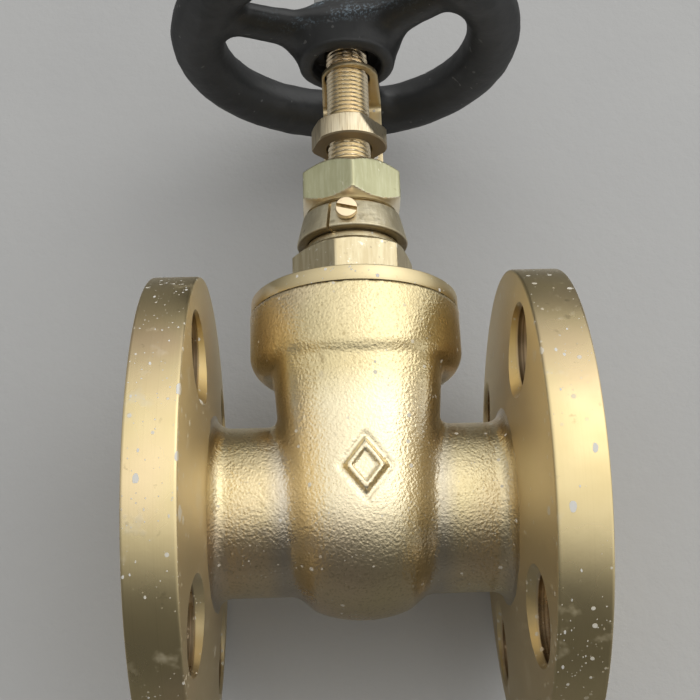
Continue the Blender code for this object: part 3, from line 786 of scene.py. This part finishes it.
def make_flange(name, side, brass):
    """A turned flange with a tapered inner face and four chamfered bolt holes."""
    inner, root = FACE_X - FLANGE_T, FACE_X - FLANGE_T - FLANGE_TAPER * (FLANGE_R - BORE_R)
    mouth = FACE_X - FLANGE_T - FLANGE_TAPER * (FLANGE_R - HOLE_CIRCLE_R)
    profile = [(FLANGE_R, FACE_X), (FLANGE_R, inner), (BORE_R, root), (BORE_R, FACE_X)]
    mesh = turned(name, profile, 256, True, 0.75)
    mesh.transform(spin(90.0, "Y"))
    r, c = HOLE_R, HOLE_CHAMFER
    levels = [(r + c + 1.0, FACE_X + 1.0), (r, FACE_X - c), (r, mouth + c), (r + c + 1.5, mouth - 1.5)]
    cutters = []
    for i in range(4):
        a = math.radians(45.0 + 90.0 * i)
        hole = shell("hole", ring_rows(levels, level_radius, 72), closed=False)
        hole.transform(spin(90.0, "Y"))
        hole.transform(shift(0.0, HOLE_CIRCLE_R * math.cos(a), HOLE_CIRCLE_R * math.sin(a)))
        cutters.append(hole)
    mesh = cut(mesh, cutters, angle=28.0)
    if side < 0:
        mesh.transform(spin(180.0, "Z"))
    finish(mesh, brass)
    add(name, mesh, "casing", "cast_brass")


# ---- bonnet, nuts and rings
def nut_levels(high, low, corner, bore, face, chamfer_z, inner=None):
    """Levels down the outside of a chamfered nut and back up its bore."""
    levels = [(bore + 0.35, high), (face, high)]
    for t in np.linspace(0.12, 1.0, 9):
        levels.append((face + (corner + 0.5 - face) * t, high - chamfer_z * t))
    for t in np.linspace(0.0, 1.0, 8)[1:-1]:
        levels.append((corner + 0.5, high - chamfer_z + (low - high + 2 * chamfer_z) * t))
    for t in np.linspace(1.0, 0.12, 9):
        levels.append((face + (corner + 0.5 - face) * t, low + chamfer_z * t))
    levels.append((face, low))
    if inner:
        levels += [(inner[0] + 0.3, low), (inner[0], low + 0.3), (inner[0], inner[1]), (bore, inner[1])]
    else:
        levels += [(bore + 0.35, low), (bore, low + 0.35)]
    levels.append((bore, high - 0.35))
    return levels


def flat(distance, facing, lean=0.0, level=0.0):
    """A flat cut across a nut: how far out it lies, which way it faces, how much it leans in per mm up."""
    def limit(theta, z):
        c = np.cos(theta - math.radians(facing))
        return np.where(c > 0.3, (distance - lean * (z - level)) / np.maximum(c, 0.3), 99.0)
    return limit


def make_nut(name, levels, sides, body, slot, mat, node, solid_from, tongue=None):
    """levels go down the outside and up the bore; sides are the flats' limits, past radius solid_from."""
    widest = max(r for r, z in levels)

    def radius(theta, limit, z):
        r = np.full_like(theta, limit)
        if limit > solid_from:
            for side in sides:
                r = smooth_min(r, side(theta, z), 0.25)
            if tongue and limit > widest - 0.02:
                r = np.maximum(r, tongue(theta))
        return r
    mesh = shell(name, ring_rows(levels, radius, 288))
    crease(mesh, 24.0)
    finish(mesh, mat)
    add(name, mesh, body, slot, node)


def bracket_tongue(theta):
    """Outline of the guide on the indicator nut's back, which slides on the bracket."""
    c = np.cos(theta - math.radians(90.0 + BRACKET_TURN))
    s = np.sin(theta - math.radians(90.0 + BRACKET_TURN))
    side = np.where(s < 0.0, TONGUE_HALF_W + BRACKET_SHIFT, TONGUE_HALF_W - BRACKET_SHIFT)
    side = side / np.maximum(np.abs(s), 1e-6)
    return np.where(c > 0.3, np.minimum(TONGUE_OUT / np.maximum(c, 0.3), side), 0.0)


def hexagon(corner, turn):
    return [lambda theta, z: polygon_radius(theta, 6, corner, turn)]


def make_bonnet(mat):
    """One turned piece: neck, hexagon, disc with a thin skirt over the gasket, spigot, and hollow inside."""
    low, high = BONNET_HEX_Z
    disc_r, spigot_r, hex_limit = 26.5, 23.3, 16.5
    levels = [(9.0, 84.0), (10.0, 84.0), (10.5, 83.5), (10.5, 78.0), (11.1, 77.6), (11.1, 69.2), (12.0, 69.1),
              (12.2, 68.8), (12.3, 67.6), (12.9, 66.7), (13.2, high)]
    levels += [(14.3 + 2.2 * t, high - 1.1 * t) for t in np.linspace(0.1, 1.0, 8)]
    levels += [(hex_limit, high - 1.1 + (low + 1.1 - high) * t) for t in np.linspace(0.0, 1.0, 10)[1:]]
    levels += [(17.0, low + 0.08), (25.7, low), (26.2, low - 0.08), (26.42, low - 0.28), (disc_r, low - 0.6)]
    levels += [(disc_r, 50.0), (26.45, 49.88), (26.35, 49.83), (26.25, 49.85), (26.25, 50.28)]
    levels += [(spigot_r, 50.28), (spigot_r, 39.6), (22.7, 39.0), (21.0, 39.0), (21.0, 44.0), (10.4, 52.6)]
    levels += [(10.2, 59.2), (5.3, 59.2), (5.3, 61.8), (9.0, 61.8)]

    def radius(theta, limit, z):
        r = np.full_like(theta, limit)
        if low + 0.05 < z < high + 0.05 and 12.5 < limit < 16.8:
            return smooth_min(r, polygon_radius(theta, 6, BONNET_HEX_R, 13.0), 0.3)
        return r
    mesh = shell("bonnet_visual", ring_rows(levels, radius, 288))
    crease(mesh, 26.0)
    finish(mesh, mat)
    add("bonnet_visual", mesh, "casing", "turned_brass", "bonnet")


def make_clamp_ring(mat):
    """A tapered ring, split at the front beside its screw, with a flat pad behind for the bracket."""
    high, low = CLAMP_RING_Z
    levels = soften([(12.8, high), (14.55, low + 0.5), (14.2, low), (11.4, low), (11.4, high)], 0.35, True)
    split = -90.0 - 26.0
    gap = math.degrees(0.4 / 13.6)

    def radius(theta, limit, z):
        r = np.full_like(theta, limit)
        if limit > 11.9:
            c = np.cos(theta - math.radians(90.0 + BRACKET_TURN))
            s = np.sin(theta - math.radians(90.0 + BRACKET_TURN))
            pad = np.where(c > 0.5, 14.7 / np.maximum(c, 0.5), 0.0)
            across = np.abs(pad * s + BRACKET_SHIFT)
            on_pad = (across < 8.3) & (c > 0.5) & (z > low + 0.5) & (z < high - 0.5)
            r = np.where(on_pad, np.maximum(r, pad), r)
        return r
    rows = ring_rows(levels, radius, 330, start=split + gap, span=360.0 - 2 * gap)
    mesh = shell("clamp_ring_visual", rows, around=False)
    crease(mesh, 30.0)
    seat = turned("seat", [(2.95, 20.0), (2.95, 13.6)], 48)
    seat.transform(spin(90.0, "X"))
    seat.transform(shift(CLAMP_SCREW_AT[0], 0.0, CLAMP_SCREW_AT[1]))
    mesh = cut(mesh, [seat], angle=30.0)
    finish(mesh, mat)
    add("clamp_ring_visual", mesh, "casing", "cast_brass", "clamp_ring")


def make_screw(name, node, at, place, under, end, head_r, head_t, slot_turn, mats):
    """A slotted cheese-head screw lying along -Y, with a shank of 1.4 mm radius, then moved by place."""
    top, shank_r = under + head_t, 1.4
    profile = [(0.3, top), (head_r, top), (head_r, under), (shank_r, under), (shank_r, end), (0.3, end)]
    mesh = turned(name, profile, 72, radius=0.28)
    groove = bmesh.new()
    bmesh.ops.create_cube(groove, size=1.0)
    for v in groove.verts:
        v.co = Vector((v.co.x * 9.0, v.co.y * 1.05, v.co.z * 2.4 + top)) * MM
    slot = bpy.data.meshes.new("slot")
    groove.to_mesh(slot)
    groove.free()
    slot.transform(spin(slot_turn, "Z"))
    mesh = cut(mesh, [slot], angle=30.0)
    finish(mesh, *mats)
    # Faces in the slot get the second material, painted darker as shade.
    for face in mesh.polygons:
        across, level = face.center.xy.length / MM, face.center.z / MM
        face.material_index = int(across < head_r - 0.45 and top - 1.3 < level < top - 0.04)
    mesh.transform(spin(90.0, "X"))
    mesh.transform(place @ shift(at[0], 0.0, at[1]))
    add(name, mesh, "casing", "turned_brass", node)


def bracket_place():
    """From the plane behind the stem to where the bracket sits, a little aside and turned."""
    return shift(BRACKET_SHIFT, 0.0, 0.0) @ spin(BRACKET_TURN, "Z")


def make_bracket(mat):
    """Sheet strip straight up behind the nuts and the stem, bent forward to a round-ended tab over them."""
    path = soften([(BRACKET_Y, 69.8), (BRACKET_Y, BRACKET_TOP), (0.0, BRACKET_TOP)], 2.6)
    path = [tuple(p) for p in path]
    for a in np.linspace(4.0, 88.0, 22):
        path.append((-BRACKET_HALF_W * math.sin(math.radians(a)), BRACKET_TOP))
    columns = np.linspace(-1.0, 1.0, 17)
    verts, faces = [], []
    for y, z in path:
        if y < 0.0:
            half = math.sqrt(max(BRACKET_HALF_W ** 2 - y * y, 0.02))
        else:
            half = BRACKET_HALF_W + 0.6 * min(y / 12.0, 1.0)
        verts += [(c * half, y, z) for c in columns]
    n = len(columns)
    for i in range(len(path) - 1):
        for j in range(n - 1):
            faces.append((i * n + j, i * n + j + 1, (i + 1) * n + j + 1, (i + 1) * n + j))
    mesh = make_mesh("indicator_bracket_visual", verts, faces)
    mesh = bake(mesh, ("SOLIDIFY", {"thickness": 1.0 * MM, "offset": 0.0, "use_even_offset": True}))
    mesh.transform(bracket_place())
    hole = turned("hole", [(6.3, 130.0), (6.3, 110.0)], 96)
    mesh = cut(mesh, [hole], angle=30.0)
    bevel = {"width": 0.16 * MM, "segments": 2, "limit_method": "ANGLE", "angle_limit": math.radians(50.0)}
    mesh = bake(mesh, ("BEVEL", bevel), angle=35.0)
    finish(mesh, mat)
    add("indicator_bracket_visual", mesh, "casing", "turned_brass", "indicator_bracket")


# ---- stem and wheel
def thread_levels(top, bottom, pitch, crest, root):
    """Levels down a thread, which fades out over its first and last turn."""
    rows = []
    count = int(round((top - bottom) / pitch * 12))
    for i in range(count + 1):
        z = top - (top - bottom) * i / count
        fade = min(1.0, (top - z) / pitch, (z - bottom) / pitch)
        rows.append((crest, z, root, pitch, fade))
    return rows


def plain_levels(profile, radius):
    """Levels down a stretch without a thread, with its corners rounded."""
    return [(r, z, r, 1.0, 0.0) for r, z in soften(profile, radius)]


def make_stem(mat):
    """One spindle: wheel end, fine indicator thread, packing length, collar, coarse gate thread."""
    steps = 72
    theta = 2.0 * np.pi * np.arange(steps) / steps
    levels = plain_levels([(0.4, 150.5), (5.0, 150.5), (5.0, 139.2), (5.6, 138.6), (5.6, 127.6)], 0.6)
    levels += thread_levels(127.4, 89.2, INDICATOR_PITCH, 5.75, 5.0)
    levels += plain_levels([(5.75, 89.1), (6.0, 88.9), (6.0, 64.5), (8.5, 64.5), (8.5, 62.0), (5.0, 62.0),
                            (5.0, 60.4)], 0.25)
    levels += thread_levels(60.2, 17.6, GATE_PITCH, 4.5, 3.4)
    levels += [(4.2, 17.3, 4.2, 1.0, 0.0), (3.4, 16.5, 3.4, 1.0, 0.0), (0.4, 16.5, 0.4, 1.0, 0.0)]
    rows = []
    for crest, z, root, pitch, fade in levels:
        phase = np.mod(z / pitch + theta / (2.0 * np.pi), 1.0)
        wave = np.clip((np.abs(2.0 * phase - 1.0) - 0.08) / 0.80, 0.0, 1.0)
        r = crest - (crest - root) * (1.0 - wave) * fade
        rows.append(np.stack([r * np.cos(theta), r * np.sin(theta), np.full_like(theta, z)], 1))
    mesh = shell("stem_visual", rows, closed=False)
    crease(mesh, 40.0)
    finish(mesh, mat)
    add("stem_visual", mesh, "spindle", "turned_brass", "stem")


def wheel_field(x, y, z):
    """The handwheel: round rim, three oval spokes, and a hub with a square-cut bore and a recess below."""
    out = np.hypot(x, y)
    rim = np.hypot(out - RIM_R, (z - WHEEL_Z) * 1.02) - RIM_TUBE_R
    hub = smooth_max((out - np.interp(z, HUB_Z, HUB_R)) * 0.85, np.abs(z - 131.3) - 7.75, 1.2)
    spokes = np.full_like(out, 99.0)
    for angle in SPOKE_ANGLES:
        c, s = math.cos(math.radians(angle)), math.sin(math.radians(angle))
        along, side = x * c + y * s, -x * s + y * c
        half = np.interp(along, SPOKE_OUT, SPOKE_HALF_W)
        thick = half * SPOKE_FLATNESS
        d = (np.hypot(side / half, (z - WHEEL_Z) / thick) - 1.0) * thick
        d = np.maximum(d, np.maximum(4.0 - along, along - 40.0))
        spokes = np.minimum(spokes, d)
    whole = smooth_min(smooth_min(rim, spokes, 4.5), hub, 4.5)
    whole = np.maximum(whole, np.abs(z - 132.05) - 8.5)
    recess = smooth_max(out - 9.4, z - 127.3, 0.6)
    return np.maximum(np.maximum(whole, 5.9 - out), -recess)


def make_wheel(mat):
    mesh = nets("handwheel_visual", wheel_field, (-49.0, -49.0, 123.0), (49.0, 49.0, 141.0), 0.7)
    mesh = roughen(mesh, 5.0, 0.14, 3.1)
    finish(mesh, mat)
    add("handwheel_visual", mesh, "spindle", "black_paint", "handwheel")


def make_washer(mat):
    profile = [(9.6, 140.9), (9.6, 139.3), (5.3, 139.3), (5.3, 140.9)]
    mesh = turned("wheel_washer_visual", profile, 96, True, 0.3)
    crease(mesh, 40.0)
    finish(mesh, mat)
    add("wheel_washer_visual", mesh, "spindle", "plated_steel", "wheel_washer")


# ---- inside the body
def gate_field(x, y, z):
    """The wedge: a tapered disc with a shallow groove in each face, and a boss that holds the wedge nut."""
    z = z - GATE_Z
    pipe = np.hypot(y, z)
    side = np.abs(x) - GATE_HALF_T - GATE_TAPER * z
    groove = np.clip(1.0 - np.abs(pipe - 12.5) / 2.0, 0.0, 1.0) * 0.4
    disc = smooth_max(pipe - GATE_R, side + groove, 0.8)
    out = np.hypot(x, y)
    boss = smooth_max(out - 9.0, np.maximum(z - 25.5, 12.0 - z), 0.8)
    whole = np.minimum(disc, boss)
    hole = np.maximum(out - 5.0, -17.5 - z)
    slot = np.maximum(np.maximum(np.abs(y) - 6.9, np.abs(x) - 12.0), np.abs(z - 20.3) - 3.3)
    return np.maximum(whole, -np.minimum(hole, slot))


def make_gate(mat):
    low, high = (-10.5, -GATE_R - 0.5, GATE_Z - GATE_R - 0.5), (10.5, GATE_R + 0.5, GATE_Z + 26.0)
    mesh = nets("gate_wedge_visual", gate_field, low, high, 0.45)
    finish(mesh, mat)
    add("gate_wedge_visual", mesh, "gate", "cast_brass", "gate_wedge")


def paint_hidden(brass, gasket, cord):
    """The inside pieces keep their CAD shape, with eased edges and their own finish."""
    metal = ("seat_ring_left", "seat_ring_right", "gland_follower", "wedge_nut")
    packing = ("packing_ring_lower", "packing_ring_middle", "packing_ring_upper")
    for names, mat in ((metal, brass), (("bonnet_gasket",), gasket), (packing, cord)):
        for name in names:
            finish(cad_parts[name].data, mat)
    for name in ("seat_ring_left", "seat_ring_right", "wedge_nut"):
        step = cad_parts[name].modifiers.new("ease", "BEVEL")
        step.width = 0.2 * MM
        step.segments = 2
        step.limit_method = "ANGLE"
        step.angle_limit = math.radians(50.0)


# ---- stage, light and camera
def make_ground():
    """The pale floor behind the valve, upright because the view looks down on a valve that lies on its back.
    Only the camera sees it pale: in reflections it is dim, except for a lit stretch at the barrel's height,
    and from behind it is clear."""
    half = 3.0
    corners = [(-half, -half, 0.0), (half, -half, 0.0), (half, half, 0.0), (-half, half, 0.0)]
    mesh = bpy.data.meshes.new("ground")
    mesh.from_pydata(corners, [], [(0, 1, 2, 3)])
    thing = link("ground", mesh)
    thing.location = (0.0, FLANGE_R * MM + 0.0003, 0.0)
    thing.rotation_euler = (math.radians(90.0), 0.0, 0.0)
    p = Paint("ground_finish")
    seen = p.node("LightPath").outputs["Is Camera Ray"]
    pale = p.mix(p.noise(9.0, 4.0, 0.6), (0.44, 0.44, 0.44), (0.51, 0.51, 0.50))
    height = p.split(p.here)[1]
    lit = p.times(p.band(height, -0.02, 0.08), p.band(height, 0.20, 0.13))
    colour = p.mix(seen, p.mix(lit, (0.15, 0.15, 0.15), (0.56, 0.56, 0.56)), pale)
    p.surface(colour, 0.0, 0.85, p.bump(p.noise(260.0, 4.0, 0.65), 0.0006, 0.35))
    clear = p.node("BsdfTransparent").outputs[0]
    back = p.node("NewGeometry").outputs["Backfacing"]
    swap = p.node("MixShader", {0: back, 1: p.shader.outputs[0], 2: clear})
    p.put(p.out.inputs[0], swap.outputs[0])
    finish(mesh, p.mat)


def make_key_light():
    """A soft window from the upper right."""
    data = bpy.data.lights.new("key", "AREA")
    data.shape = "RECTANGLE"
    data.size, data.size_y = 0.70, 0.60
    data.energy = 0.9
    data.color = (1.0, 0.99, 0.97)
    lamp = link("key", data)
    lamp.location = KEY_AT
    lamp.rotation_euler = (Vector(KEY_AIM) - Vector(KEY_AT)).to_track_quat("-Z", "Y").to_euler()


def make_world():
    """Soft studio surround: one wide glow in front, a little above and to the right, fading to dim.
    The camera sees a plain grey instead."""
    world = bpy.data.worlds.new("studio")
    bpy.context.scene.world = world
    world.use_nodes = True
    n = Nodes(world.node_tree)
    x, y, z = n.split(n.node("TexCoord").outputs["Generated"])
    aside = n.times(n.math("SUBTRACT", n.math("ARCTAN2", x, n.times(y, -1.0)), GLOW_ASIDE), GLOW_WIDER)
    above = n.math("SUBTRACT", n.math("ARCSINE", z), GLOW_ABOVE)
    above = n.math("SUBTRACT", above, n.times(n.math("MAXIMUM", above, 0.0), GLOW_TALLER))
    lobe = {"Value": n.across(aside, above), "From Min": GLOW_EDGE, "From Max": GLOW_CORE,
            "To Min": DIM_STRENGTH, "To Max": GLOW_STRENGTH}
    ramp = n.node("MapRange", lobe, interpolation_type="SMOOTHSTEP")
    lit = n.math("ADD", ramp.outputs[0], n.times(n.math("MAXIMUM", z, 0.0), CEILING_STRENGTH))
    seen = n.node("LightPath").outputs["Is Camera Ray"]
    glow = n.times(lit, n.math("SUBTRACT", 1.0, seen))
    sky = n.node("Background", {0: (1.0, 1.0, 0.99, 1.0), 1: n.math("ADD", n.times(seen, 0.42), glow)})
    n.put(n.node("OutputWorld").inputs[0], sky.outputs[0])


def make_camera():
    """In front of the pipe and below it, looking up along the stem."""
    data = bpy.data.cameras.new("camera")
    data.sensor_width = 36.0
    data.lens = 61.88
    data.clip_start = 0.01
    data.clip_end = 50.0
    camera = link("camera", data)
    roll, tilt, pitch = CAMERA_TURN
    aim = Matrix.Rotation(roll, 4, "Z") @ Matrix.Rotation(tilt, 4, "Y") @ Matrix.Rotation(pitch, 4, "X")
    place = Matrix.Translation((CAMERA_AT[0], CAMERA_AT[1], CAMERA_AT[2] + PIPE_AXIS_Z * MM))
    camera.matrix_world = place @ aim @ spin(90.0, "X")
    bpy.context.scene.camera = camera


def make_body():
    cast = cast_brass()
    flange_brass = machined_brass("flange_brass", "X", (0.80, 0.66, 0.37), (0.24, 0.36), 0.0019, 0.5,
                                  0.42, (1.6, 1.0, 1.0), flange_detail)
    make_casting(cast)
    make_flange("flange_left", -1, flange_brass)
    make_flange("flange_right", 1, flange_brass)
    make_gate(cast)


def make_top_works(turned_brass):
    screw_mats = (machined_brass("screw_brass", "Z", (0.88, 0.72, 0.49), (0.26, 0.40)), painted_slot_shade())
    make_bonnet(machined_brass("bonnet_brass", "Z", (0.76, 0.64, 0.39), (0.32, 0.44), 0.0008, share=0.25,
                               detail=hexagon_wear))
    make_nut("gland_nut_visual", nut_levels(90.0, 78.4, GLAND_NUT_R, 6.4, 12.0, 2.6, inner=(10.8, 85.7)),
             hexagon(GLAND_NUT_R, -89.0), "casing", "turned_brass", olive_brass(), "gland_nut", 11.5)
    make_clamp_ring(rough_ring_brass())
    make_screw("clamp_screw_visual", "clamp_screw", CLAMP_SCREW_AT, Matrix(), 13.9, 11.4, 2.75, 2.1, -13.0,
               screw_mats)
    behind = bracket_place() @ spin(180.0, "Z")
    for side, name in ((-1, "left"), (1, "right")):
        make_screw("bracket_screw_%s_visual" % name, "bracket_screw_" + name, (-4.6 * side, 73.4), behind,
                   16.25, 12.4, 2.6, 1.9, 20.0 * side, screw_mats)
    make_bracket(turned_brass)
    back = flat(9.2 + BRACKET_SHIFT * math.sin(math.radians(-BRACKET_TURN)), 90.0 + BRACKET_TURN)
    flats = [back, flat(9.5, -161.0), flat(8.3, 138.0), flat(8.4, 40.0), flat(10.1, -38.0, 0.34, 99.0)]
    make_nut("indicator_nut_visual", nut_levels(104.4, 98.3, 9.7, 6.0, 9.8, 0.4), flats, "indicator",
             "turned_brass", filed_brass(), "indicator_nut", 6.6, tongue=bracket_tongue)


def make_spindle():
    steel = zinc_steel()
    make_stem(machined_brass("stem_brass", "Z", (0.88, 0.77, 0.57), (0.18, 0.28)))
    make_wheel(black_paint())
    make_washer(steel)
    make_nut("wheel_nut_visual", nut_levels(148.2, 141.2, WHEEL_NUT_R, 5.3, 8.0, 0.8),
             hexagon(WHEEL_NUT_R, 20.0), "spindle", "plated_steel", steel, "wheel_nut", 7.7)


def main():
    turned_brass = machined_brass("turned_brass", "Z", (0.74, 0.62, 0.38), (0.32, 0.44), 0.0008, share=0.2)
    make_body()
    make_top_works(turned_brass)
    make_spindle()
    paint_hidden(turned_brass, gasket_sheet(), packing_cord())
    make_ground()
    make_world()
    make_key_light()
    bpy.context.scene.view_settings.view_transform = "Standard"
    make_camera()


main()
